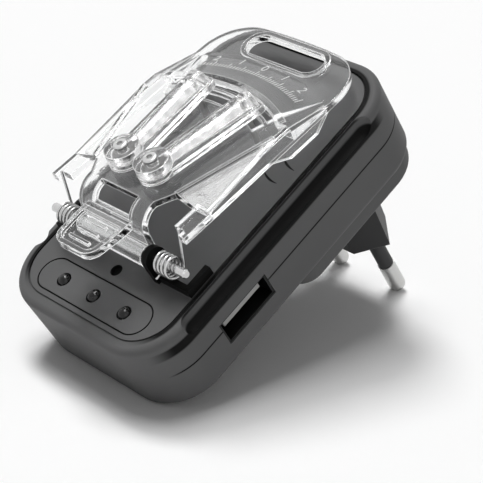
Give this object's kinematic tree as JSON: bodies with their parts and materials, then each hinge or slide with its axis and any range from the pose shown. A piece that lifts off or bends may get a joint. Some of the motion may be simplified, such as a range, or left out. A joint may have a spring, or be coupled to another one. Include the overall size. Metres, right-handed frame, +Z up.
{
  "type": "universal battery charger",
  "caption": "Plug-in charger for loose phone and camera batteries: dark housing with plug pins and USB socket, clear sprung clamp lid with swinging contact arms",
  "frame": {"origin": "middle of the overall box, on the surface that the charger stands on", "axes": "+X to the USB side, +Y to the plug end, +Z up; the housing is tipped back about X, plug end high"},
  "size_m": [0.05, 0.0898, 0.0633],
  "materials": {
    "housing_plastic": "satin moulded",
    "clear_plastic": "clear polished",
    "black_sleeve": "matte",
    "plated_pin": "nickel plated",
    "plated_steel": "bright plated",
    "spring_steel": "drawn wire",
    "brass": "plain",
    "board": "solder mask",
    "ferrite": "dull",
    "can_wrap": "plastic sleeve",
    "tongue_plastic": "matte",
    "lamp_lens": "smoked lens"
  },
  "bodies": {
    "housing": {"upper_shell": "housing_plastic", "lower_shell": "housing_plastic", "case_screws": "plated_steel", "plug_body": "housing_plastic", "mains_pin_left": "plated_pin", "mains_pin_right": "plated_pin", "pin_sleeve_left": "black_sleeve", "pin_sleeve_right": "black_sleeve", "mains_strap_left": "brass", "mains_strap_right": "brass", "charger_board": "board", "transformer": "ferrite", "mains_capacitor": "can_wrap", "output_capacitor": "can_wrap", "control_chip": "black_sleeve", "usb_shell": "plated_steel", "usb_tongue": "tongue_plastic", "led_left": "lamp_lens", "led_middle": "lamp_lens", "led_right": "lamp_lens", "hinge_shaft": "plated_steel", "lid_spring_left": "spring_steel", "lid_spring_right": "spring_steel"},
    "clamp_lid": {"lid": "clear_plastic", "pivot_rivet_left": "plated_steel", "pivot_rivet_right": "plated_steel"},
    "arm_left": {"contact_arm_left": "clear_plastic", "contact_strip_left": "plated_pin", "contact_pin_left": "plated_pin"},
    "arm_right": {"contact_arm_right": "clear_plastic", "contact_strip_right": "plated_pin", "contact_pin_right": "plated_pin"}
  },
  "joints": [
    {"name": "lid_hinge", "type": "hinge", "parent": "housing", "child": "clamp_lid", "pos_m": [0, -0.03223, 0.03038], "axis": [1, 0, 0], "range_deg": [0, 36], "stiffness_Nm_per_rad": 0.1, "springref_deg": -57.3, "deforming": ["lid_spring_left", "lid_spring_right"]},
    {"name": "arm_left_swing", "type": "hinge", "parent": "clamp_lid", "child": "arm_left", "pos_m": [-0.00475, -0.02607, 0.04488], "axis": [0, -0.448, 0.894], "range_deg": [-7, 13]},
    {"name": "arm_right_swing", "type": "hinge", "parent": "clamp_lid", "child": "arm_right", "pos_m": [0.00475, -0.02607, 0.04488], "axis": [0, -0.448, 0.894], "range_deg": [-9, 11]}
  ]
}
